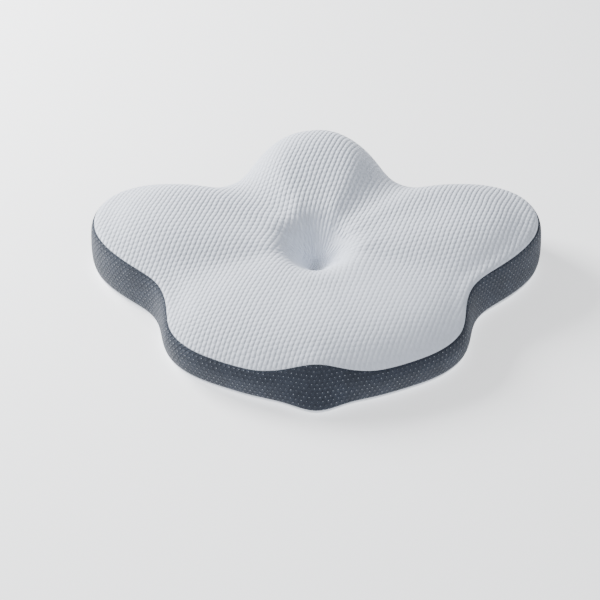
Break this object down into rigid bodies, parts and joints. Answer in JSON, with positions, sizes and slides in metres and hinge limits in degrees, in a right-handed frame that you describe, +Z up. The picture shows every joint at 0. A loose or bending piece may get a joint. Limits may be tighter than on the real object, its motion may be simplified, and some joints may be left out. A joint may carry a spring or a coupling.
{
  "type": "cervical contour pillow",
  "caption": "Butterfly-shaped cervical contour pillow with a deep head hollow, air-layer knit top, dark side band and zipped cover.",
  "frame": {"origin": "on the floor under the middle of the pillow's width and depth, below the head hollow", "axes": "+X across the shoulders, +Y from the crown edge to the neck lobe, +Z up from the flat underside"},
  "size_m": [0.6411, 0.4812, 0.1366],
  "materials": {
    "white_air_knit": "matte, dimpled",
    "grey_band_knit": "matte, heathered with small light dots",
    "white_base_cloth": "matte, fine knit",
    "memory_foam": "matte open-cell foam",
    "white_thread": "matte",
    "grey_thread": "matte",
    "zip_cloth": "woven tape",
    "zip_nylon": "satin nylon",
    "zip_metal": "white enamel",
    "hook_loop": "hook and loop pile"
  },
  "bodies": {
    "pillow": {"foam_core": "memory_foam", "top_panel": "white_air_knit", "side_band": "grey_band_knit", "bottom_panel_front": "white_base_cloth", "bottom_panel_back": "white_base_cloth", "top_seam_thread": "grey_thread", "bottom_seam_thread": "white_thread", "band_join_thread": "grey_thread", "anchor_hook_pad": "hook_loop", "anchor_loop_pad": "hook_loop", "zip_tape_front": "zip_cloth", "zip_tape_back": "zip_cloth", "zip_coil_front": "zip_nylon", "zip_coil_back": "zip_nylon", "zip_top_stop_front": "zip_metal", "zip_top_stop_back": "zip_metal", "zip_bottom_stop": "zip_metal"},
    "slider": {"zip_slider": "zip_metal"},
    "pull": {"zip_pull": "zip_metal"}
  },
  "joints": [
    {"name": "zipper_slide", "type": "slide", "parent": "pillow", "child": "slider", "axis": [1, 0, 0], "range_m": [-0.37, 0]},
    {"name": "pull_tab_hinge", "type": "hinge", "parent": "slider", "child": "pull", "pos_m": [0.20125, 0, 0.00145], "axis": [0, -1, 0], "range_deg": [0, 150]}
  ]
}
